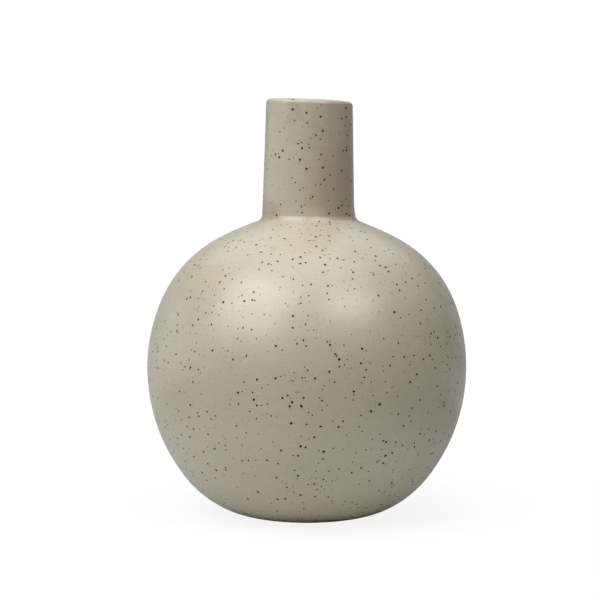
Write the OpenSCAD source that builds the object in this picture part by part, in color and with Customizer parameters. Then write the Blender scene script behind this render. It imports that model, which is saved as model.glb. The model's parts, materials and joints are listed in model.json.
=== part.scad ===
// Stoneware bottle vase: a globe thrown as a bowl and a dome, with a thrown neck
// and a foot ring, luted together with slip, and an outer coat, a liner and a base
// patch of glaze. Every piece is round, so each module draws half a section, with X
// as the radius and Y as the height, and turns it about the pot's axis. Sections that
// touch share the points of their common line, so the pieces meet face to face.
// Millimetres, +Z up, origin at the centre of the foot on the table top.

/* [Globe] */
// Widest diameter of the globe, over the glaze
globe_d = 185.6; // [182:0.2:190]
// Curve radius of the turn into the foot
turn_r = 46; // [42:0.5:50]
// Curve radius of the lower haunch
lower_r = 64.5; // [60:0.5:70]
// Curve radius of the belly, around the widest line
belly_r = 103; // [98:1:108]
// Curve radius of the upper haunch
upper_r = 73; // [69:0.5:77]
// Curve radius of the shoulder, up to the neck
shoulder_r = 158; // [150:1:166]
// Where the turn into the foot gives way to the lower haunch, degrees below level
turn_a = 61.5; // [58:0.5:65]
// Where the lower haunch gives way to the belly, degrees below level
lower_a = 36.5; // [33:0.5:40]
// Where the belly gives way to the upper haunch, degrees above level
upper_a = 20.5; // [18:0.5:23]
// Where the upper haunch gives way to the shoulder, degrees above level
shoulder_a = 62; // [60:0.5:64]

/* [Neck] */
// Overall height, from table to lip
height = 241; // [230:1:255]
// Diameter of the neck where it leaves the shoulder, over the glaze
neck_foot_d = 53.3; // [51:0.1:56]
// Diameter of the neck at the lip, over the glaze
neck_top_d = 49.9; // [49.5:0.1:52]
// Inside diameter of the neck, between its glazed walls
bore_d = 38; // [32:0.5:38]
// Rounding of the lip, inside and out
lip_r = 2.6; // [1.8:0.1:2.9]
// Radius of the smoothed corner between neck and shoulder
corner_r = 4.4; // [3:0.1:5.4]

/* [Foot] */
// Outside diameter of the foot ring
foot_d = 71; // [68:0.5:76]
// Inside diameter of the foot ring
recess_d = 57; // [50:0.5:62]
// Height of the seat on which the bowl joins the foot ring
seat_z = 2.9; // [2.6:0.1:3.4]
// Bevel that keeps the edges of the foot ring from chipping
foot_bevel = 0.6; // [0.3:0.1:0.8]
// Where the outer glaze stops above the foot, degrees below level
glaze_line_a = 79; // [74:0.5:80]

/* [Walls, coats and joints] */
// Thickness of the thrown clay wall
wall = 5.5; // [4.5:0.25:6.5]
// Thickness of each coat of glaze
glaze = 0.5; // [0.3:0.1:0.7]
// Thickness of the slip in each luted joint
slip = 0.6; // [0.3:0.1:0.9]
// Height of the clay floor inside the bowl
floor_z = 8; // [7.5:0.25:10]
// Height of the joint between bowl and dome
joint_z = 84; // [80:0.5:88]
// Height of the tongue on the bowl's rim
tongue_h = 3; // [2:0.25:4]
// Width of the tongue at its root
tongue_w = 3.5; // [3:0.25:4]

/* [Hidden] */
$fn = 180;
clay_colour = [0.50, 0.40, 0.31];
slip_colour = [0.42, 0.33, 0.26];
glaze_colour = [0.76, 0.73, 0.66];
// Angle of one step along a wide curve, and along a small one
wide_step = 3;
small_step = 15;

function toward(a) = [cos(a), sin(a)];
function backward(points) = [for (i = [len(points) - 1 : -1 : 0]) points[i]];

// Points along a curve from angle a to angle b.
function arc(centre, r, a, b, step = wide_step) =
    let (n = max(1, ceil(abs(b - a) / step)))
    [for (i = [0 : n]) centre + r * toward(a + (b - a) * i / n)];

// Point where a line from p along the unit vector u leaves a circle about centre.
function leaves(p, u, centre, r) =
    let (v = p - centre, along = v * u)
    p + (sqrt(along * along - v * v + r * r) - along) * u;

// Angle of a point as seen from centre.
function angle_of(p, centre) = atan2(p[1] - centre[1], p[0] - centre[0]);

// Centres of the globe's curves. Neighbouring curves touch, since both centres and
// the point where the curves meet lie on one line.
waist_z = turn_r + (lower_r - turn_r) * sin(turn_a) + (belly_r - lower_r) * sin(lower_a);
belly_c = [globe_d / 2 - belly_r, waist_z];
lower_c = belly_c + (belly_r - lower_r) * toward(-lower_a);
turn_c = lower_c + (lower_r - turn_r) * toward(-turn_a);
upper_c = belly_c + (belly_r - upper_r) * toward(upper_a);
shoulder_c = upper_c + (upper_r - shoulder_r) * toward(shoulder_a);

// The neck leaves the shoulder at neck_z, tapers, and ends in two lip curves.
bore_r = bore_d / 2;
neck_z = leaves([neck_foot_d / 2, height / 2], [0, 1], shoulder_c, shoulder_r)[1];
taper_a = atan2((neck_foot_d - neck_top_d) / 2, height - neck_z);
neck_base = [neck_foot_d / 2, neck_z];
neck_out = toward(taper_a);
neck_up = toward(90 + taper_a);
lip_z = height - lip_r;
lip_c = [neck_foot_d / 2 - (lip_z - neck_z) * tan(taper_a) - lip_r / cos(taper_a), lip_z];
rim_c = [bore_r + lip_r, lip_z];

// The smoothed corner's curve touches the neck's side and the shoulder's curve.
corner_c = leaves(neck_base + corner_r * neck_out, neck_up, shoulder_c, shoulder_r + corner_r);
corner_a = angle_of(corner_c, shoulder_c);

// Globe, t under its glazed surface, from the glaze line to the smoothed corner.
function globe_line(t) = concat(
    arc(turn_c, turn_r - t, -glaze_line_a, -turn_a),
    arc(lower_c, lower_r - t, -turn_a, -lower_a),
    arc(belly_c, belly_r - t, -lower_a, upper_a),
    arc(upper_c, upper_r - t, upper_a, shoulder_a),
    arc(shoulder_c, shoulder_r - t, shoulder_a, corner_a)
);

// Smoothed corner, t under its glazed surface, from the shoulder to the neck.
function corner_line(t) =
    arc(corner_c, corner_r + t, 180 + corner_a, 180 + taper_a, small_step);

// Lip, t under its glazed surface, from the neck's outer side to its bore.
function lip_line(t) = concat(
    arc(lip_c, lip_r - t, taper_a, 90, small_step),
    arc(rim_c, lip_r - t, 90, 180, small_step)
);

// Foot of the neck's clay side on the shoulder, t under the glazed surface.
function neck_heel(t) = leaves(neck_base - glaze * neck_out, neck_up, shoulder_c, shoulder_r - t);

// Seat of the neck, t under the shoulder's glazed surface, from heel to bore.
function seat_line(t) =
    let (r = shoulder_r - t, bore_a = acos((bore_r + glaze - shoulder_c[0]) / r))
    arc(shoulder_c, r, angle_of(neck_heel(t), shoulder_c), bore_a);

// Space inside the clay, t in from it, from the middle of the floor to the lip.
function hollow_line(t) =
    let (
        depth = glaze + wall + t,
        x = bore_r + glaze - t,
        floor_a = asin((turn_c[1] - floor_z - t) / (turn_r - depth)),
        bore_a = acos((x - shoulder_c[0]) / (shoulder_r - depth))
    )
    concat(
        [[0, floor_z + t]],
        arc(turn_c, turn_r - depth, -floor_a, -turn_a),
        arc(lower_c, lower_r - depth, -turn_a, -lower_a),
        arc(belly_c, belly_r - depth, -lower_a, upper_a),
        arc(upper_c, upper_r - depth, upper_a, shoulder_a),
        arc(shoulder_c, shoulder_r - depth, shoulder_a, bore_a),
        [[x, lip_z]]
    );

// Clay of the globe and its foot, up to the neck's seat.
module globe_clay() {
    under_glaze = arc(turn_c, turn_r - glaze, -90, -glaze_line_a);
    solid_line = concat(under_glaze, globe_line(glaze), seat_line(glaze));
    difference() {
        polygon(concat([[0, glaze]], solid_line, [[bore_r + glaze, waist_z], [0, waist_z]]));
        polygon(concat(hollow_line(0), [[0, lip_z]]));
    }
}

// Everything below the tongued joint between bowl and dome, raised by lift.
module under_joint(lift) {
    z = joint_z + lift;
    middle = globe_d / 2 - glaze - wall / 2;
    polygon([
        [0, 0],
        [globe_d, 0],
        [globe_d, z],
        [middle + tongue_w / 2, z],
        [middle, z + tongue_h],
        [middle - tongue_w / 2, z],
        [0, z]
    ]);
}

// Band of the clay outside the foot's recess, from height low to height high.
module foot_band(low, high) {
    intersection() {
        globe_clay();
        translate([recess_d / 2, low]) square([globe_d, high - low]);
    }
}

// Thrown ring that carries the vase. Its outer side carries on the bowl's curve.
module foot_ring() {
    top = seat_z - slip;
    color(clay_colour) rotate_extrude() {
        foot_band(0, top);
        polygon([
            [recess_d / 2 + foot_bevel, 0],
            [foot_d / 2 - foot_bevel, 0],
            [foot_d / 2, foot_bevel],
            [foot_d / 2, top],
            [recess_d / 2, top],
            [recess_d / 2, foot_bevel]
        ]);
    }
}

// Slip that lutes the foot ring to the bowl.
module foot_slip() {
    color(slip_colour) rotate_extrude() foot_band(seat_z - slip, seat_z);
}

// Thrown bowl: floor, lower haunch and the tongued rim at the belly.
module lower_bowl() {
    color(clay_colour) rotate_extrude() difference() {
        intersection() {
            globe_clay();
            under_joint(0);
        }
        square([globe_d, seat_z]);
    }
}

// Slip in the tongued joint round the belly.
module belly_slip() {
    color(slip_colour) rotate_extrude() intersection() {
        globe_clay();
        difference() {
            under_joint(slip);
            under_joint(0);
        }
    }
}

// Thrown dome: the upper half of the belly, the shoulder and the hole for the neck.
module upper_dome() {
    color(clay_colour) rotate_extrude() difference() {
        globe_clay();
        under_joint(slip);
    }
}

// Slip between the dome and the neck that stands on it.
module neck_slip() {
    color(slip_colour) rotate_extrude()
        polygon(concat(seat_line(glaze), backward(seat_line(glaze - slip))));
}

// Thrown neck with a round lip, its foot cut to the slope of the shoulder.
module neck() {
    color(clay_colour) rotate_extrude()
        polygon(concat(lip_line(glaze), backward(seat_line(glaze - slip))));
}

// Soft coil pressed into the corner round the neck.
module neck_coil() {
    color(clay_colour) rotate_extrude() polygon(concat(corner_line(glaze), [neck_heel(glaze)]));
}

// Glaze poured inside: floor, globe and neck, up to the lip's curve.
module liner_glaze() {
    color(glaze_colour) rotate_extrude()
        polygon(concat(hollow_line(0), backward(hollow_line(glaze))));
}

// Glaze brushed in the recess under the foot.
module base_glaze() {
    color(glaze_colour) translate([0, 0, seat_z - glaze]) cylinder(h = glaze, d = recess_d);
}

// Glaze over the outside, from just above the foot to the inside of the lip.
module outer_glaze() {
    outside = concat(globe_line(0), corner_line(0), lip_line(0));
    under = concat(globe_line(glaze), corner_line(glaze), lip_line(glaze));
    color(glaze_colour) rotate_extrude() polygon(concat(outside, backward(under)));
}

foot_ring();
foot_slip();
lower_bowl();
belly_slip();
upper_dome();
neck_slip();
neck();
neck_coil();
liner_glaze();
base_glaze();
outer_glaze();
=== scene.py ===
"""Looks of the stoneware bottle vase.

Every piece is turned from half a section, as on the wheel: a list of points with a
radius and a height in millimetres. One field of small hand-made errors then moves the
points of all the pieces alike, so pieces that touch in the frame still touch here.
"""

import json
import math

import bpy
import numpy as np
from mathutils import Matrix, Vector


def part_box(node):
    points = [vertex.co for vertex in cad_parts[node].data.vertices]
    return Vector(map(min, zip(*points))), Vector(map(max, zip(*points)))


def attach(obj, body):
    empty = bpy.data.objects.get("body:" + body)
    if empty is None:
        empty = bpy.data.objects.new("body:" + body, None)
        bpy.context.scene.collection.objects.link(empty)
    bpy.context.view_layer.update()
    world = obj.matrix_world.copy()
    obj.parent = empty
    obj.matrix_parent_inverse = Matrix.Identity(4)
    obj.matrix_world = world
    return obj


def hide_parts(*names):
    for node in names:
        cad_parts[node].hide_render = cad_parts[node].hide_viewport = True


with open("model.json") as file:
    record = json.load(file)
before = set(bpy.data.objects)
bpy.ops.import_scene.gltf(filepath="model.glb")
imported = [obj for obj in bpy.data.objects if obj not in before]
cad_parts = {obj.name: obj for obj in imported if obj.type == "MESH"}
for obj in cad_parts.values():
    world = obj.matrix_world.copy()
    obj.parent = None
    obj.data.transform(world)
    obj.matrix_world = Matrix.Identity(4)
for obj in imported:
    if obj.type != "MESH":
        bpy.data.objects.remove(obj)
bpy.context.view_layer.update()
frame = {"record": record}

MM = 0.001
SEED = 41

# Sizes that the frame gives, in millimetres
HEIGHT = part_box("outer_glaze")[1].z / MM
GLOBE_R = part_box("outer_glaze")[1].x / MM
RECESS_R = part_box("base_glaze")[1].x / MM
SEAT_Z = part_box("base_glaze")[1].z / MM
SLIP = SEAT_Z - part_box("foot_ring")[1].z / MM
GLAZE = (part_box("base_glaze")[1].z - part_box("base_glaze")[0].z) / MM
BORE_R = next(m["dims"]["r_mm"] for m in frame["record"]["mounts"] if m["name"] == "neck_bore")

# The globe's curves, from the foot up: radius, and the angle where each one ends
TURN_R, LOWER_R, BELLY_R, UPPER_R, SHOULDER_R = 46, 64.5, 103, 73, 158
TURN_A, LOWER_A, UPPER_A, SHOULDER_A = -61.5, -36.5, 20.5, 62
GLAZE_LINE_A = -79
NECK_FOOT_R = 26.65
NECK_TOP_R = 24.95
LIP_R = 2.6
CORNER_R = 4.4
FOOT_R = 35.5
FOOT_BEVEL = 0.6
POOL_R = 0.9
WALL = 5.5
FLOOR_Z = 8
JOINT_Z = 84
TONGUE_H = 3
TONGUE_W = 3.5

# How finely the surfaces are drawn: the points round the pot, and the pitch of the points
# along a section, in millimetres
ROUND_STEPS = 288
FINE, COARSE = 1.5, 5.0
INSIDE_PITCH = 2.2
LINER_PITCH = 1.8
SEAT_PITCH = 1.0
JOINT_PITCH = 0.9
SMALL_CURVE = 0.4


# ---------------------------------------------------------------- half sections


def toward(degrees):
    return np.array([math.cos(math.radians(degrees)), math.sin(math.radians(degrees))])


def leaves(point, along, centre, radius):
    """Where a line from point along a unit vector leaves a circle."""
    v = point - centre
    ahead = v @ along
    return point + (math.sqrt(ahead**2 - v @ v + radius**2) - ahead) * along


def angle_of(point, centre):
    return math.degrees(math.atan2(point[1] - centre[1], point[0] - centre[0]))


def path(points, inside=0.0, scored=0.0):
    """Points with the two marks that the hand-made field reads: inside is 1 on the
    surface that the potter's inner hand threw, and scored is 1 on a luted face."""
    points = np.atleast_2d(np.asarray(points, float))
    marks = np.tile([inside, scored], (len(points), 1))
    return np.hstack([points, marks])


def arc(centre, radius, a, b, pitch=FINE, inside=0.0):
    steps = max(2, math.ceil(abs(radius * math.radians(b - a)) / pitch))
    return path([centre + radius * toward(x) for x in np.linspace(a, b, steps + 1)], inside)


def divided(points, pitch=FINE):
    """The same path with points added along its straight stretches."""
    out = [points[:1]]
    for a, b in zip(points[:-1], points[1:]):
        steps = max(1, math.ceil(np.linalg.norm(b[:2] - a[:2]) / pitch))
        out.append(a + (b - a) * np.linspace(0, 1, steps + 1)[1:, None])
    return np.vstack(out)


def joined(*parts):
    """One path from several, without the points that repeat where two of them meet."""
    points = np.vstack(parts)
    apart = np.linalg.norm(np.diff(points[:, :2], axis=0), axis=1) > 1e-4
    return points[np.concatenate([[True], apart])]


# The centres of the globe's curves, each tangent to the next
WAIST_Z = TURN_R - (LOWER_R - TURN_R) * toward(TURN_A)[1] - (BELLY_R - LOWER_R) * toward(LOWER_A)[1]
BELLY_C = np.array([GLOBE_R - BELLY_R, WAIST_Z])
LOWER_C = BELLY_C + (BELLY_R - LOWER_R) * toward(LOWER_A)
TURN_C = LOWER_C + (LOWER_R - TURN_R) * toward(TURN_A)
UPPER_C = BELLY_C + (BELLY_R - UPPER_R) * toward(UPPER_A)
SHOULDER_C = UPPER_C + (UPPER_R - SHOULDER_R) * toward(SHOULDER_A)

# The neck, its lip, and the corner where it meets the shoulder
NECK_Z = leaves(np.array([NECK_FOOT_R, HEIGHT / 2]), toward(90), SHOULDER_C, SHOULDER_R)[1]
TAPER_A = math.degrees(math.atan2(NECK_FOOT_R - NECK_TOP_R, HEIGHT - NECK_Z))
NECK_BASE = np.array([NECK_FOOT_R, NECK_Z])
LIP_Z = HEIGHT - LIP_R
NECK_LEAN_IN = (LIP_Z - NECK_Z) * math.tan(math.radians(TAPER_A))
LIP_C = np.array([NECK_FOOT_R - NECK_LEAN_IN - LIP_R / toward(TAPER_A)[0], LIP_Z])
RIM_C = np.array([BORE_R + LIP_R, LIP_Z])
CORNER_START = NECK_BASE + CORNER_R * toward(TAPER_A)
CORNER_C = leaves(CORNER_START, toward(90 + TAPER_A), SHOULDER_C, SHOULDER_R + CORNER_R)
CORNER_A = angle_of(CORNER_C, SHOULDER_C)


def globe_line(depth, start_a, end_a, pitch=FINE, inside=0.0):
    """The globe's surface, depth under its glaze, between two angles."""
    curves = (
        (TURN_C, TURN_R, -90, TURN_A),
        (LOWER_C, LOWER_R, TURN_A, LOWER_A),
        (BELLY_C, BELLY_R, LOWER_A, UPPER_A),
        (UPPER_C, UPPER_R, UPPER_A, SHOULDER_A),
        (SHOULDER_C, SHOULDER_R, SHOULDER_A, 90),
    )
    parts = []
    for centre, radius, a, b in curves:
        a, b = max(a, start_a), min(b, end_a)
        if b > a:
            parts.append(arc(centre, radius - depth, a, b, pitch, inside))
    return joined(*parts)


def turn_angle(depth, z):
    """The angle at which the turn into the foot reaches a height."""
    return math.degrees(math.asin((z - TURN_C[1]) / (TURN_R - depth)))


def belly_angle(depth, z):
    """The angle at which the belly reaches a height."""
    return math.degrees(math.asin((z - BELLY_C[1]) / (BELLY_R - depth)))


def shoulder_angle(depth, r):
    """The angle at which the shoulder comes in to a radius."""
    return math.degrees(math.acos((r - SHOULDER_C[0]) / (SHOULDER_R - depth)))


def corner_line(depth):
    return arc(CORNER_C, CORNER_R + depth, 180 + CORNER_A, 180 + TAPER_A, SMALL_CURVE)


def lip_line(depth):
    outer = arc(LIP_C, LIP_R - depth, TAPER_A, 90, SMALL_CURVE)
    inner = arc(RIM_C, LIP_R - depth, 90, 180, SMALL_CURVE)
    inner[-1, 2] = 1
    return joined(outer, inner)


def neck_heel(depth):
    """Where the neck's clay side stands on the shoulder, depth under its glaze."""
    foot = NECK_BASE - GLAZE * toward(TAPER_A)
    return leaves(foot, toward(90 + TAPER_A), SHOULDER_C, SHOULDER_R - depth)


def seat_line(depth):
    """The neck's scored seat on the shoulder, from its heel to the bore."""
    heel_a = angle_of(neck_heel(depth), SHOULDER_C)
    bore_a = shoulder_angle(depth, BORE_R + GLAZE)
    seat = arc(SHOULDER_C, SHOULDER_R - depth, heel_a, bore_a, SEAT_PITCH)
    seat[:, 2] = np.linspace(0, 1, len(seat))
    seat[1:-1, 3] = 1
    return seat


def hollow_line(depth, pitch):
    """The space inside the clay, depth in from it, from the floor's middle to the lip."""
    under = GLAZE + WALL + depth
    bore = BORE_R + GLAZE - depth
    floor_z = FLOOR_Z + depth
    floor = divided(path([[0, floor_z], [TURN_C[0], floor_z]], inside=1), pitch)
    start_a, end_a = turn_angle(under, floor_z), shoulder_angle(under, bore)
    globe = globe_line(under, start_a, end_a, pitch, inside=1)
    neck = divided(path([globe[-1, :2], [bore, LIP_Z]], inside=1), pitch)
    return joined(floor, globe, neck)


def joint_line(lift):
    """The tongued joint at the belly, raised by lift, from the outside inwards."""
    z = JOINT_Z + lift
    out_r = (BELLY_C + (BELLY_R - GLAZE) * toward(belly_angle(GLAZE, z)))[0]
    in_r = (BELLY_C + (BELLY_R - GLAZE - WALL) * toward(belly_angle(GLAZE + WALL, z)))[0]
    middle = GLOBE_R - GLAZE - WALL / 2
    land = np.array(
        [
            [out_r, z, 0.0, 0],
            [middle + TONGUE_W / 2, z, 0.2, 1],
            [middle, z + TONGUE_H, 0.5, 1],
            [middle - TONGUE_W / 2, z, 0.8, 1],
            [in_r, z, 1.0, 0],
        ]
    )
    return divided(land, JOINT_PITCH)


def foot_seat_line(z):
    """The scored seat between foot ring and bowl, from the recess outwards."""
    out_r = (TURN_C + (TURN_R - GLAZE) * toward(turn_angle(GLAZE, z)))[0]
    seat = divided(path([[RECESS_R, z], [out_r, z]]), SEAT_PITCH)
    seat[1:-1, 3] = 1
    return seat


# ---------------------------------------------------------------- the pieces' sections


def foot_section():
    """The foot ring, with its bevels rounded by handling."""
    bevel = 2 * FOOT_BEVEL
    ring_top = SEAT_Z - SLIP
    meets = -math.degrees(math.acos((FOOT_R - TURN_C[0]) / (TURN_R - GLAZE)))
    outer_edge = arc(np.array([FOOT_R - bevel, bevel]), bevel, -90, -40, pitch=0.2)
    inner_edge = arc(np.array([RECESS_R + bevel, bevel]), bevel, -180, -90, pitch=0.2)
    face = divided(path([inner_edge[-1, :2], outer_edge[0, :2]]), pitch=0.5)
    side = globe_line(GLAZE, meets, turn_angle(GLAZE, ring_top), pitch=0.6)
    top = foot_seat_line(ring_top)[::-1]
    return joined(inner_edge, face, outer_edge, side, top)


def foot_seam_section():
    return joined(foot_seat_line(SEAT_Z - SLIP), foot_seat_line(SEAT_Z)[::-1])


def bowl_section():
    under = GLAZE + WALL
    outside = globe_line(GLAZE, turn_angle(GLAZE, SEAT_Z), belly_angle(GLAZE, JOINT_Z), COARSE)
    start_a, end_a = turn_angle(under, FLOOR_Z), belly_angle(under, JOINT_Z)
    inside = globe_line(under, start_a, end_a, INSIDE_PITCH, inside=1)
    base = divided(path([[0, SEAT_Z], [RECESS_R, SEAT_Z]]), COARSE)
    floor = divided(path([[TURN_C[0], FLOOR_Z], [0, FLOOR_Z]], inside=1), INSIDE_PITCH)
    return joined(base, foot_seat_line(SEAT_Z), outside, joint_line(0), inside[::-1], floor)


def belly_seam_section():
    return joined(joint_line(0), joint_line(SLIP)[::-1])


def dome_section():
    under = GLAZE + WALL
    outside = globe_line(GLAZE, belly_angle(GLAZE, JOINT_Z + SLIP), CORNER_A, COARSE)
    start_a, end_a = belly_angle(under, JOINT_Z + SLIP), shoulder_angle(under, BORE_R + GLAZE)
    inside = globe_line(under, start_a, end_a, INSIDE_PITCH, inside=1)
    return joined(outside, seat_line(GLAZE), inside[::-1], joint_line(SLIP)[::-1])


def neck_seam_section():
    return joined(seat_line(GLAZE), seat_line(GLAZE - SLIP)[::-1])


def neck_section():
    seat = seat_line(GLAZE - SLIP)
    bore = divided(path([seat[-1, :2], [BORE_R + GLAZE, LIP_Z]], inside=1), FINE)
    lip = lip_line(GLAZE)[::-1]
    side = divided(path([lip[-1, :2], seat[0, :2]]), COARSE)
    return joined(seat, bore, lip, side)


def coil_section():
    return joined(corner_line(GLAZE), path(neck_heel(GLAZE)))


def liner_section():
    return joined(hollow_line(GLAZE, LINER_PITCH), hollow_line(0, INSIDE_PITCH)[::-1])


def base_glaze_section():
    """Glaze in the foot's recess, pooled where it meets the ring."""
    face_z = SEAT_Z - GLAZE
    pool = arc(np.array([RECESS_R - POOL_R, face_z - POOL_R]), POOL_R, 90, 12, pitch=0.15)
    face = divided(path([[0, face_z], pool[0, :2]]), pitch=0.9)
    back = divided(path([[RECESS_R, SEAT_Z], [0, SEAT_Z]]), COARSE)
    return joined(face, pool, path([[RECESS_R, pool[-1, 1]]]), back)


def outer_glaze_section():
    """The coat's smooth face, a rolled edge above the foot, and its back on the clay."""
    edge_c = TURN_C + (TURN_R - GLAZE / 2) * toward(GLAZE_LINE_A)
    edge = arc(edge_c, GLAZE / 2, GLAZE_LINE_A - 180, GLAZE_LINE_A, pitch=0.12)
    face = globe_line(0, GLAZE_LINE_A, CORNER_A)
    lip = lip_line(0)
    side = divided(path([corner_line(0)[-1, :2], lip[0, :2]]))
    back_globe = globe_line(GLAZE, GLAZE_LINE_A, CORNER_A, COARSE)
    back_lip = lip_line(GLAZE)
    back_side = divided(path([corner_line(GLAZE)[-1, :2], back_lip[0, :2]]), COARSE)
    back = joined(back_globe, corner_line(GLAZE), back_side, back_lip)
    return joined(edge, face, corner_line(0), side, lip, back[::-1])


# ---------------------------------------------------------------- the potter's hand

# Shifts, depths and pitches in millimetres, and angles in degrees
DOME_SHIFT = 0.6
NECK_LEAN = 0.4
RIM_TILT = 1.7
RIM_DROP = 1.3
WAVER = 0.2
THUMB = 0.5
RING_DEPTH = 0.35
RING_PITCH = 7.0
SCORE_DEPTH = 0.12
SCORES = 48

# The waves of the pot's slow unevenness: how often each comes round the pot and up it,
# and its share of the whole
WAVES = ((2, 0.6, 0.30), (3, 1.3, 0.24), (5, 2.1, 0.16), (1, 3.0, 0.18), (0, 5.2, 0.12))

# How far the glaze line slides up and down the turn, in degrees: how often each wave comes
# round the pot, its size, and where it starts
GLAZE_LINE_WAVES = ((3, 0.5, 1), (8, 0.35, 0), (17, 0.2, 0))


def smooth(x, low, high):
    t = np.clip((x - low) / (high - low), 0, 1)
    return t * t * (3 - 2 * t)


def waver(angle, z):
    """A slow unevenness between -1 and 1, the same on every run."""
    rng = np.random.default_rng(SEED)
    total = np.zeros_like(z)
    for turns, rise, share in WAVES:
        phase, slant = rng.uniform(0, 2 * math.pi, 2)
        total += share * np.cos(turns * angle + rise * z * 2 * math.pi / HEIGHT + phase + slant)
    return total


def thrown(r, z, inside, scored, angle):
    """Adds the rings that the fingers leave inside, the thumb's mark in the neck's corner,
    the slow unevenness of the wall, and the scratches on the luted faces."""
    wall = smooth(z, FLOOR_Z + 2, FLOOR_Z + 16)
    below_lip = 1 - smooth(z, LIP_Z - 14, LIP_Z - 5)
    spiral = np.cos(2 * math.pi * z / RING_PITCH + angle) * wall * below_lip
    spiral_floor = np.cos(2 * math.pi * r / RING_PITCH - angle) * (1 - wall) * smooth(r, 3, 12)
    in_neck = smooth(z, NECK_Z - 8, NECK_Z)
    ring = RING_DEPTH * inside * (1 - 0.5 * in_neck)
    corner = smooth(z, NECK_Z - 6, NECK_Z) * (1 - smooth(z, NECK_Z + 1, NECK_Z + 9))
    corner = corner * smooth(r, 21, 27) * (1 - smooth(r, 31, 38))
    r = r + THUMB * corner * (0.9 + 0.7 * np.cos(angle))
    above_foot = smooth(z, 2, 14)
    uneven = waver(angle, z) * smooth(r, 0, 15) - smooth(r, 40, 85)
    r = r + ring * spiral + above_foot * WAVER * uneven
    z = z + ring * spiral_floor
    z = z + SCORE_DEPTH * scored * np.cos(SCORES * angle + 0.9 * r)
    return r, z


def luted(r, z, angle):
    """Sets the dome a little off the bowl's axis, leans the neck, and tilts the lip."""
    x = r * np.cos(angle) + DOME_SHIFT * smooth(z, JOINT_Z, JOINT_Z + 50)
    y = r * np.sin(angle)
    up = z - NECK_Z
    on_neck = smooth(z, NECK_Z - 6, NECK_Z + 8)
    lean = math.radians(NECK_LEAN) * on_neck
    leaned_z = z + on_neck * (np.cos(lean) - 1) * up - x * np.sin(lean)
    x = x * np.cos(lean) + up * np.sin(lean)
    near_lip = smooth(leaned_z, NECK_Z + 20, HEIGHT)
    z = leaned_z - near_lip * (math.tan(math.radians(RIM_TILT)) * x + RIM_DROP)
    return x, y, z


def by_hand(r, z, inside, scored, angle):
    """Places points with the small errors of a thrown pot, in millimetres."""
    r, z = thrown(r, z, inside, scored, angle)
    return luted(r, z, angle)


def ragged_glaze_line(section, angle):
    """Slides the coat's lower edge a little up and down the clay as it goes round."""
    a = np.degrees(np.arctan2(section[:, 1] - TURN_C[1], section[:, 0] - TURN_C[0]))
    near = 1 - smooth(a, GLAZE_LINE_A + 1, GLAZE_LINE_A + 8)
    near[section[:, 1] > TURN_R] = 0
    slide = sum(size * np.sin(turns * angle + start) for turns, size, start in GLAZE_LINE_WAVES)
    slide = near[:, None] * np.radians(slide)[None, :]
    dr, dz = (section[:, k, None] - TURN_C[k] for k in (0, 1))
    r = TURN_C[0] + dr * np.cos(slide) - dz * np.sin(slide)
    z = TURN_C[1] + dr * np.sin(slide) + dz * np.cos(slide)
    return r, z


# ---------------------------------------------------------------- turning a section


def bands(rows, closed):
    """The faces between neighbouring rows of points. A closed section also has faces
    between its last row and its first."""
    column = np.arange(ROUND_STEPS)
    after = (column + 1) % ROUND_STEPS
    first = np.arange(rows if closed else rows - 1)[:, None] * ROUND_STEPS
    second = (first + ROUND_STEPS) % (rows * ROUND_STEPS)
    quads = np.stack([first + column, first + after, second + after, second + column], axis=-1)
    return quads.reshape(-1, 4).tolist()


def fans(count):
    """The faces that close the first and last rows of count points on the axis, where two
    more points follow them."""
    last = count - ROUND_STEPS
    pairs = [(a, (a + 1) % ROUND_STEPS) for a in range(ROUND_STEPS)]
    first_fan = [[count, b, a] for a, b in pairs]
    last_fan = [[count + 1, last + a, last + b] for a, b in pairs]
    return first_fan + last_fan


def new_piece(name, points, faces):
    """An object from points in millimetres, shaded smooth but for its sharp edges."""
    mesh = bpy.data.meshes.new(name)
    mesh.from_pydata((points * MM).tolist(), [], faces)
    mesh.validate()
    mesh.polygons.foreach_set("use_smooth", [True] * len(mesh.polygons))
    mesh.set_sharp_from_angle(angle=math.radians(50))
    mesh.update()
    piece = bpy.data.objects.new(name, mesh)
    bpy.context.collection.objects.link(piece)
    return piece


def turned(name, section, move=None):
    """Turns a section into a piece. A section that starts and ends on the axis gets a
    point at each end; any other is a closed loop."""
    on_axis = section[0, 0] < 1e-6
    rows = section[1:-1] if on_axis else section
    angle = np.linspace(0, 2 * math.pi, ROUND_STEPS, endpoint=False)
    r, z = move(rows, angle) if move else (rows[:, 0, None], rows[:, 1, None])
    values = (r, z, rows[:, 2, None], rows[:, 3, None], angle)
    grid = [np.broadcast_to(v, (len(rows), ROUND_STEPS)) for v in values]
    points = np.stack(by_hand(*grid), axis=-1).reshape(-1, 3)
    faces = bands(len(rows), closed=not on_axis)
    if on_axis:
        faces += fans(len(points))
        ends = [by_hand(*section[i][:, None], np.zeros(1)) for i in (0, -1)]
        points = np.vstack([points, np.array(ends)[..., 0]])
    return new_piece(name, points, faces)


# ---------------------------------------------------------------- shader nodes


def add(tree, kind, inputs=(), **settings):
    """Adds a node. A socket given as an input is linked, and anything else is set."""
    made = tree.nodes.new(kind)
    for name, value in settings.items():
        setattr(made, name, value)
    for key, value in dict(inputs).items():
        if isinstance(value, bpy.types.NodeSocket):
            tree.links.new(value, made.inputs[key])
        else:
            made.inputs[key].default_value = value
    return made


def maths(tree, operation, *values):
    return add(tree, "ShaderNodeMath", enumerate(values), operation=operation).outputs[0]


def vectors(tree, operation, *values):
    return add(tree, "ShaderNodeVectorMath", enumerate(values), operation=operation).outputs[0]


def combined(tree, operation, first, *rest):
    """One value from several, taken two at a time."""
    for value in rest:
        first = maths(tree, operation, first, value)
    return first


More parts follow.
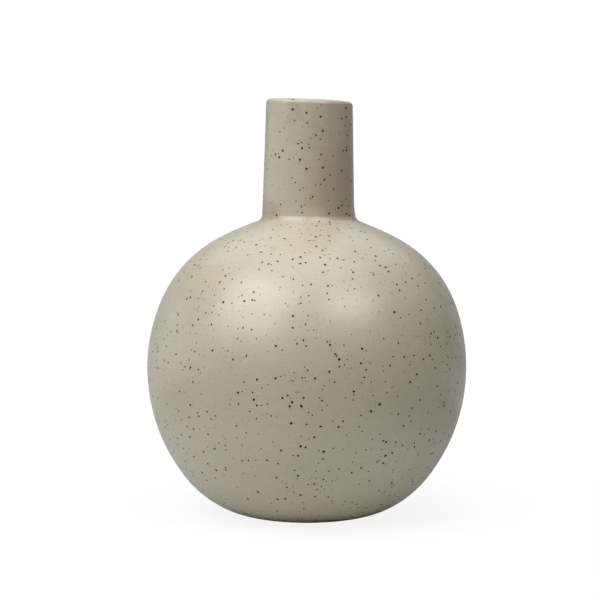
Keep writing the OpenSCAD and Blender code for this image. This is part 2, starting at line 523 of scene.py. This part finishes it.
def summed(tree, *weighted):
    """The sum of some values, each given after its weight."""
    total = 0.0
    for weight, value in weighted:
        total = maths(tree, "MULTIPLY_ADD", value, weight, total)
    return total


def part_of(tree, vector, axis):
    return add(tree, "ShaderNodeSeparateXYZ", {0: vector}).outputs[axis]


def length(tree, vector):
    return add(tree, "ShaderNodeVectorMath", {0: vector}, operation="LENGTH").outputs["Value"]


def scaled(tree, value, low, high, to_low=0.0, to_high=1.0, kind="SMOOTHSTEP"):
    """Maps value from one range to another, smoothly and clamped."""
    numbers = {"Value": value, "From Min": low, "From Max": high, "To Min": to_low, "To Max": to_high}
    return add(tree, "ShaderNodeMapRange", numbers, interpolation_type=kind).outputs["Result"]


def noise(tree, place, size, detail=2.0, rough=0.5, output="Fac"):
    """A noise whose features are about size millimetres across."""
    inputs = {"Vector": place, "Scale": 1 / size, "Detail": detail, "Roughness": rough}
    return add(tree, "ShaderNodeTexNoise", inputs).outputs[output]


def mixed(tree, factor, a, b):
    """Mixes two colours, each given as numbers or as a socket."""
    return add(tree, "ShaderNodeMix", {0: factor, 6: a, 7: b}, data_type="RGBA").outputs[2]


def colour(red, green, blue):
    """A linear colour from the usual 0 to 255 display values."""
    def linear(v):
        v /= 255
        return v / 12.92 if v <= 0.04045 else ((v + 0.055) / 1.055) ** 2.4
    return (linear(red), linear(green), linear(blue), 1.0)


def new_material(name):
    """A material with its shader, and object coordinates in millimetres."""
    material = bpy.data.materials.new(name)
    material.use_nodes = True
    tree = material.node_tree
    tree.nodes.clear()
    shader = add(tree, "ShaderNodeBsdfPrincipled")
    out = add(tree, "ShaderNodeOutputMaterial")
    tree.links.new(shader.outputs["BSDF"], out.inputs["Surface"])
    place = add(tree, "ShaderNodeTexCoord").outputs["Object"]
    place = vectors(tree, "MULTIPLY", place, (1 / MM,) * 3)
    return material, tree, shader, place


def bump(tree, shader, relief, depth_mm):
    """Gives the surface a relief. A relief of 1 stands depth_mm proud."""
    node = add(tree, "ShaderNodeBump", {"Height": relief, "Distance": depth_mm * MM, "Strength": 1.0})
    tree.links.new(node.outputs[0], shader.inputs["Normal"])


# ---------------------------------------------------------------- glaze

# Three sizes of iron specks. The glaze is divided into cells, cell millimetres across, and
# a share of them hold one speck each, with a radius from small to large and a strength
# from faint to dark. shift keeps the three patterns apart.
SPECKS = {
    "fine": dict(cell=2.0, small=0.26, large=0.46, share=0.52, faint=0.18, dark=0.64, shift=41.3),
    "middle": dict(cell=3.2, small=0.46, large=0.67, share=0.48, faint=0.45, dark=1.00, shift=17.7),
    "coarse": dict(cell=4.2, small=0.65, large=0.93, share=0.80, faint=0.90, dark=1.00, shift=3.1),
}
SPECK_COLOURS = {
    "fine": colour(98, 80, 50),
    "middle": colour(58, 44, 20),
    "coarse": colour(46, 34, 14),
}

# The dark core's share of a speck's radius, and how far the outline wobbles in millimetres
SPECK_CORE = 0.68
SPECK_WOBBLE = 0.7

# What the iron does to the glaze's sheen, roughness and relief
IRON_SHEEN = 0.9
IRON_ROUGHENS = 0.15
IRON_SINKS = 0.5
GLAZE_RELIEF = 0.03

# The brown of thin glaze, also used for painted shade on the neck, below the lip and near the foot
THIN_AND_SHADE_BROWN = colour(150, 124, 98)
OUTER_TONES = {
    "body": (0.607, 0.549, 0.421, 1),
    "mottle": (0.578, 0.523, 0.401, 1),
    "fleck": (0.510, 0.455, 0.342, 1),
}
LINER_TONES = {
    "body": colour(199, 188, 166),
    "mottle": colour(186, 173, 149),
    "fleck": colour(178, 164, 138),
}


def specks(tree, place, cell, small, large, share, faint, dark, shift):
    """One size of iron specks: how dark each point is, from 0 to 1. The specks crowd in
    some places. The surface cuts each one at its own depth, so most of them show smaller
    and paler than they are."""
    moved = vectors(tree, "ADD", place, (shift, 2 * shift, 3 * shift))
    cells = add(tree, "ShaderNodeTexVoronoi", {"Vector": moved, "Scale": 1 / cell})
    random = add(tree, "ShaderNodeSeparateColor", {0: cells.outputs["Color"]})
    radius = scaled(tree, random.outputs[0], 0, 1, small / cell, large / cell, "LINEAR")
    core = maths(tree, "MULTIPLY", radius, SPECK_CORE)
    shape = scaled(tree, cells.outputs["Distance"], radius, core)
    crowd = noise(tree, place, 22, 1)
    limit = scaled(tree, crowd, 0.35, 0.65, share * 0.6, share * 1.4, "LINEAR")
    present = maths(tree, "LESS_THAN", random.outputs[1], limit)
    strength = scaled(tree, random.outputs[2], 0, 1, faint, dark, "LINEAR")
    return combined(tree, "MULTIPLY", shape, present, strength)


def speck_layers(tree, place, specked, shift):
    """The three sizes of specks, with outlines that wobble a little."""
    wobble = noise(tree, place, 0.9, 1, output="Color")
    centred = vectors(tree, "SUBTRACT", wobble, (0.5,) * 3)
    bent = vectors(tree, "ADD", place, vectors(tree, "MULTIPLY", centred, (SPECK_WOBBLE,) * 3))
    layers = {}
    for name, kind in SPECKS.items():
        changed = dict(kind, share=kind["share"] * specked, shift=kind["shift"] + shift)
        layers[name] = specks(tree, bent, **changed)
    return layers


def glaze_tone(tree, place, streak, body, mottle, fleck):
    """The glaze's own colour: cloudy, grainy, and streaked round the pot."""
    cloud = scaled(tree, noise(tree, place, 34, 3, 0.55), 0.3, 0.7)
    grain = scaled(tree, noise(tree, place, 1.0, 3, 0.65), 0.3, 0.7, 0, 0.55)
    tone = mixed(tree, cloud, body, mottle)
    tone = mixed(tree, grain, tone, fleck)
    return mixed(tree, scaled(tree, streak, 0.35, 0.7, 0, 0.35), tone, fleck)


def thin_glaze_and_painted_shade(tree, place):
    """Where the glaze browns, from 0 to 1: at its edge above the foot, where it runs thin and
    painted shade darkens it; over the lip, where it runs thin; and as painted shade in
    patches below the lip and by the neck's corner, and on the neck's right side."""
    drift = scaled(tree, noise(tree, place, 5, 2), 0.2, 0.8, -1.5, 1.5, "LINEAR")
    z = maths(tree, "ADD", part_of(tree, place, "Z"), drift)

    radius = length(tree, vectors(tree, "MULTIPLY", place, (1, 1, 0)))
    outside_recess = maths(tree, "GREATER_THAN", radius, RECESS_R + 1)
    # At its edge above the foot the glaze runs thin, and it is also browned there as painted shade
    # close to the floor
    thin_edge_and_painted_shade = maths(tree, "MULTIPLY", scaled(tree, z, 4.6, 0.8), outside_recess)
    at_lip = scaled(tree, z, LIP_Z - 1.5, HEIGHT, 0, 0.06)

    # Painted shade: brown patches below the lip and in the corner where the neck meets the shoulder
    up_corner = scaled(tree, z, NECK_Z - 3, NECK_Z + 3)
    past_corner = scaled(tree, z, NECK_Z + 5, NECK_Z + 22)
    by_corner = maths(tree, "SUBTRACT", up_corner, past_corner)
    below_lip = scaled(tree, z, LIP_Z - 22, LIP_Z - 4)
    patches = scaled(tree, noise(tree, place, 15, 2), 0.42, 0.64, 0, 0.42)
    painted_shade_patches = maths(tree, "MULTIPLY", maths(tree, "MAXIMUM", by_corner, below_lip), patches)

    # Painted shade: the neck's right side is browned, less so higher up
    one_side = scaled(tree, part_of(tree, place, "X"), -8, 12, 0, 0.36)
    on_neck = scaled(tree, z, NECK_Z, NECK_Z + 10)
    fading_up = scaled(tree, z, NECK_Z + 20, LIP_Z - 15, 1.0, 0.55)
    painted_side_shade = combined(tree, "MULTIPLY", one_side, on_neck, fading_up)
    return combined(tree, "MAXIMUM", thin_edge_and_painted_shade, at_lip, painted_shade_patches, painted_side_shade)


def glaze_material(name, tones, roughness, specked=1.0, shift=0.0):
    """A satin glaze with iron specks, browner where it runs thin and where shade is painted on."""
    material, tree, shader, place = new_material(name)
    layers = speck_layers(tree, place, specked, shift)
    flat = vectors(tree, "MULTIPLY", place, (0.1, 0.1, 1.0))
    streak = noise(tree, flat, 1.4, 3, 0.6)
    # Browns the glaze where it runs thin and where shade is painted
    tone = mixed(tree, thin_glaze_and_painted_shade(tree, place), glaze_tone(tree, place, streak, **tones), THIN_AND_SHADE_BROWN)
    for size, dye in SPECK_COLOURS.items():
        tone = mixed(tree, layers[size], tone, dye)
    tree.links.new(tone, shader.inputs["Base Color"])

    iron = maths(tree, "MAXIMUM", layers["coarse"], layers["middle"])
    skin = scaled(tree, noise(tree, place, 2.6, 2), 0.2, 0.8, roughness - 0.04, roughness + 0.05)
    rough = summed(tree, (1.0, skin), (IRON_ROUGHENS, iron))
    tree.links.new(rough, shader.inputs["Roughness"])
    tree.links.new(maths(tree, "MULTIPLY", iron, IRON_SHEEN), shader.inputs["Metallic"])
    shader.inputs["IOR"].default_value = 1.5
    shader.inputs["Specular IOR Level"].default_value = 1.0

    broad = noise(tree, place, 13, 2)
    ripple = noise(tree, place, 3.2, 2)
    pores = noise(tree, place, 0.5, 2, 0.6)
    heights = (5.0, broad), (1.0, ripple), (0.35, streak), (0.10, pores), (-IRON_SINKS, iron)
    bump(tree, shader, summed(tree, *heights), GLAZE_RELIEF)
    return material


# ---------------------------------------------------------------- clay and slip

CLAY_RELIEF = 0.08
IRON_GRAIN = colour(40, 30, 22)
CLAY_TONES = {
    "body": colour(158, 132, 102),
    "dark": colour(134, 108, 80),
    "light": colour(196, 176, 148),
}
SLIP_TONES = {
    "body": colour(138, 112, 86),
    "dark": colour(120, 96, 72),
    "light": colour(160, 138, 112),
}


def clay_material(name, body, dark, light, grain_mm):
    """Bare fired clay or slip, cloudy, with grog and grains of iron in it."""
    material, tree, shader, place = new_material(name)
    cloud = noise(tree, place, 9, 4, 0.6)
    tone = mixed(tree, scaled(tree, cloud, 0.3, 0.7), dark, body)

    sand = add(tree, "ShaderNodeTexVoronoi", {"Vector": place, "Scale": 1 / grain_mm})
    random = add(tree, "ShaderNodeSeparateColor", {0: sand.outputs["Color"]}).outputs[0]
    grog = scaled(tree, sand.outputs["Distance"], 0.42, 0.25)
    grog = maths(tree, "MULTIPLY", grog, maths(tree, "GREATER_THAN", random, 0.72))
    tone = mixed(tree, maths(tree, "MULTIPLY", grog, 0.7), tone, light)
    iron = scaled(tree, sand.outputs["Distance"], 0.38, 0.2)
    iron = maths(tree, "MULTIPLY", iron, maths(tree, "LESS_THAN", random, 0.10))
    tone = mixed(tree, iron, tone, IRON_GRAIN)
    tree.links.new(tone, shader.inputs["Base Color"])

    fine = noise(tree, place, 0.35, 4, 0.65)
    tree.links.new(scaled(tree, fine, 0.3, 0.7, 0.82, 0.95), shader.inputs["Roughness"])
    bump(tree, shader, summed(tree, (1.0, fine), (0.8, grog)), CLAY_RELIEF)
    return material


# ---------------------------------------------------------------- the pieces

glaze = glaze_material("speckled_glaze", OUTER_TONES, roughness=0.33)
liner = glaze_material("liner_glaze", LINER_TONES, roughness=0.30, specked=0.5, shift=60)
clay = clay_material("stoneware_clay", **CLAY_TONES, grain_mm=1.1)
seam = clay_material("joint_slip", **SLIP_TONES, grain_mm=0.6)

PIECES = (
    ("trimmed_foot", "foot_ring", foot_section, clay, "stoneware_clay"),
    ("foot_seam", "foot_slip", foot_seam_section, seam, "joint_slip"),
    ("thrown_bowl", "lower_bowl", bowl_section, clay, "stoneware_clay"),
    ("belly_seam", "belly_slip", belly_seam_section, seam, "joint_slip"),
    ("thrown_dome", "upper_dome", dome_section, clay, "stoneware_clay"),
    ("neck_seam", "neck_slip", neck_seam_section, seam, "joint_slip"),
    ("thrown_neck", "neck", neck_section, clay, "stoneware_clay"),
    ("corner_coil", "neck_coil", coil_section, clay, "stoneware_clay"),
    ("liner_coat", "liner_glaze", liner_section, liner, "liner_glaze"),
    ("base_coat", "base_glaze", base_glaze_section, glaze, "speckled_glaze"),
    ("outer_coat", "outer_glaze", outer_glaze_section, glaze, "speckled_glaze"),
)
for name, node, section, material, slot in PIECES:
    piece = turned(name, section(), ragged_glaze_line if name == "outer_coat" else None)
    piece.data.materials.append(material)
    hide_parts(node)
    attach(piece, "root")


# ---------------------------------------------------------------- floor, light and camera

# Half the floor's width in metres, the colours of the pool of light painted on it near the vase
# and far off, and how far to the left of the vase the painted pool lies, in millimetres
FLOOR_HALF = 6.0
FLOOR_PAINTED_LIT, FLOOR_PAINTED_DIM = (0.67, 0.67, 0.67, 1), (0.13, 0.13, 0.13, 1)
LIGHT_POOL_LEFT = 24

# The brightness of what the camera sees as white, and of the room overhead
BLEACHED = 1.02
OVERHEAD = 0.42

# The point that the lights face, and their distance from it in metres
LIGHT_AIM = Vector((0, 0, 110)) * MM
LIGHT_DISTANCE = 1.2

WHITE = (1.0, 1.0, 1.0)
COOL = (0.90, 0.98, 1.14)
FLASH = (1.0, 1.005, 1.03)

# Each light's bearing to the camera's right and its height, the angles that it fills
# across and up, its brightness and its tint
LIGHTS = (
    ("left_soft_box", -50, 42, 48, 40, 3.10, FLASH),
    ("right_soft_box", 37, 43, 34, 22, 2.95, FLASH),
    ("high_soft_box", 75, 64, 40, 30, 0.15, WHITE),
    ("front_window", 18, 35, 60, 14, 0.60, WHITE),
    ("left_fill", -95, 8, 60, 30, 0.53, WHITE),
    ("bright_ceiling", 0, 80, 60, 50, 0.92, WHITE),
    ("back_wall", 180, 50, 70, 30, 0.72, COOL),
    ("backdrop", -163, 6, 120, 26, 0.38, COOL),
)

# The camera: its lens in millimetres, its place, the point that it faces, and its roll
LENS = 102.7
EYE = Vector((-4.0, -993, 198.5)) * MM
AIM = Vector((-4.0, 0, 124.2)) * MM
ROLL = 0.16


def floor_material():
    """A pale, matt table top, with a pool of light painted in its colour: lighter round the vase,
    a little to the left, and in front darker further off. The camera sees it bleached by the
    exposure, as on a white sweep, but for a faint shadow close to the foot."""
    material, tree, shader, place = new_material("pale_floor")
    # Painted light: the base colour is a pool of light, lighter round the vase and a little to its
    # left, darker in front further off
    in_front = scaled(tree, part_of(tree, place, "Y"), 60, 240, 1, 0)
    from_pool = length(tree, vectors(tree, "ADD", place, (LIGHT_POOL_LEFT, 0, 0)))
    painted_pool_falloff = maths(tree, "MULTIPLY", scaled(tree, from_pool, 100, 340), in_front)
    tree.links.new(mixed(tree, painted_pool_falloff, FLOOR_PAINTED_LIT, FLOOR_PAINTED_DIM), shader.inputs["Base Color"])
    shader.inputs["Roughness"].default_value = 0.9
    shader.inputs["Specular IOR Level"].default_value = 0.2

    white = add(tree, "ShaderNodeEmission", {"Color": (1, 1, 1, 1), "Strength": BLEACHED})
    matt = add(tree, "ShaderNodeBsdfDiffuse", {"Color": (0.95, 0.95, 0.95, 1)})
    bleach = scaled(tree, length(tree, place), 60, 220, 0.86, 1.0)
    seen = add(tree, "ShaderNodeMixShader", {0: bleach, 1: matt.outputs[0], 2: white.outputs[0]})
    direct = add(tree, "ShaderNodeLightPath").outputs["Is Camera Ray"]
    both = add(tree, "ShaderNodeMixShader", {0: direct, 1: shader.outputs[0], 2: seen.outputs[0]})
    out = next(n for n in tree.nodes if n.type == "OUTPUT_MATERIAL")
    tree.links.new(both.outputs[0], out.inputs["Surface"])
    return material


def floor():
    """The table top, wide enough to fill every view."""
    half = FLOOR_HALF
    mesh = bpy.data.meshes.new("floor")
    corners = [(-half, -half, 0), (half, -half, 0), (half, half, 0), (-half, half, 0)]
    mesh.from_pydata(corners, [], [(0, 1, 2, 3)])
    made = bpy.data.objects.new("floor", mesh)
    bpy.context.collection.objects.link(made)
    made.data.materials.append(floor_material())


def aim_from(azimuth, elevation):
    """The direction towards a light, from its bearing to the camera's right and its height."""
    a, e = math.radians(azimuth), math.radians(elevation)
    return Vector((math.sin(a) * math.cos(e), -math.cos(a) * math.cos(e), math.sin(e)))


def soft_box(name, azimuth, elevation, wide, tall, radiance, tint):
    """A soft box that faces the vase. wide and tall are the angles that it fills."""
    light = bpy.data.lights.new(name, "AREA")
    light.shape = "RECTANGLE"
    light.color = tint
    light.size = 2 * LIGHT_DISTANCE * math.tan(math.radians(wide / 2))
    light.size_y = 2 * LIGHT_DISTANCE * math.tan(math.radians(tall / 2))
    light.energy = radiance * math.pi * light.size * light.size_y
    made = bpy.data.objects.new(name, light)
    towards = aim_from(azimuth, elevation)
    made.location = LIGHT_AIM + towards * LIGHT_DISTANCE
    made.rotation_euler = towards.to_track_quat("Z", "Y").to_euler()
    made.visible_camera = False
    bpy.context.collection.objects.link(made)


def surroundings():
    """A room that is dark at eye level and bright overhead. The camera sees plain white."""
    world = bpy.data.worlds.new("studio")
    bpy.context.scene.world = world
    world.use_nodes = True
    tree = world.node_tree
    tree.nodes.clear()
    around = add(tree, "ShaderNodeTexCoord").outputs["Generated"]
    up = maths(tree, "MAXIMUM", part_of(tree, around, "Z"), 0.0)
    strength = maths(tree, "MULTIPLY", maths(tree, "POWER", up, 2.0), OVERHEAD)
    room = add(tree, "ShaderNodeBackground", {"Color": (1, 1, 1, 1), "Strength": strength})
    seen = add(tree, "ShaderNodeBackground", {"Color": (1, 1, 1, 1), "Strength": BLEACHED})
    direct = add(tree, "ShaderNodeLightPath").outputs["Is Camera Ray"]
    mix = add(tree, "ShaderNodeMixShader", {0: direct, 1: room.outputs[0], 2: seen.outputs[0]})
    out = add(tree, "ShaderNodeOutputWorld")
    tree.links.new(mix.outputs[0], out.inputs["Surface"])


def camera():
    """The photograph's viewpoint: about a metre off, 20 cm above the table."""
    data = bpy.data.cameras.new("camera")
    data.sensor_width = 36
    data.lens = LENS
    data.clip_start, data.clip_end = 0.05, 50
    made = bpy.data.objects.new("camera", data)
    turn = (AIM - EYE).to_track_quat("-Z", "Y").to_matrix().to_4x4()
    roll = Matrix.Rotation(math.radians(ROLL), 4, "Z")
    made.matrix_world = Matrix.Translation(EYE) @ turn @ roll
    bpy.context.collection.objects.link(made)
    bpy.context.scene.camera = made


floor()
for light in LIGHTS:
    soft_box(*light)
surroundings()
camera()
bpy.context.scene.view_settings.view_transform = "Standard"
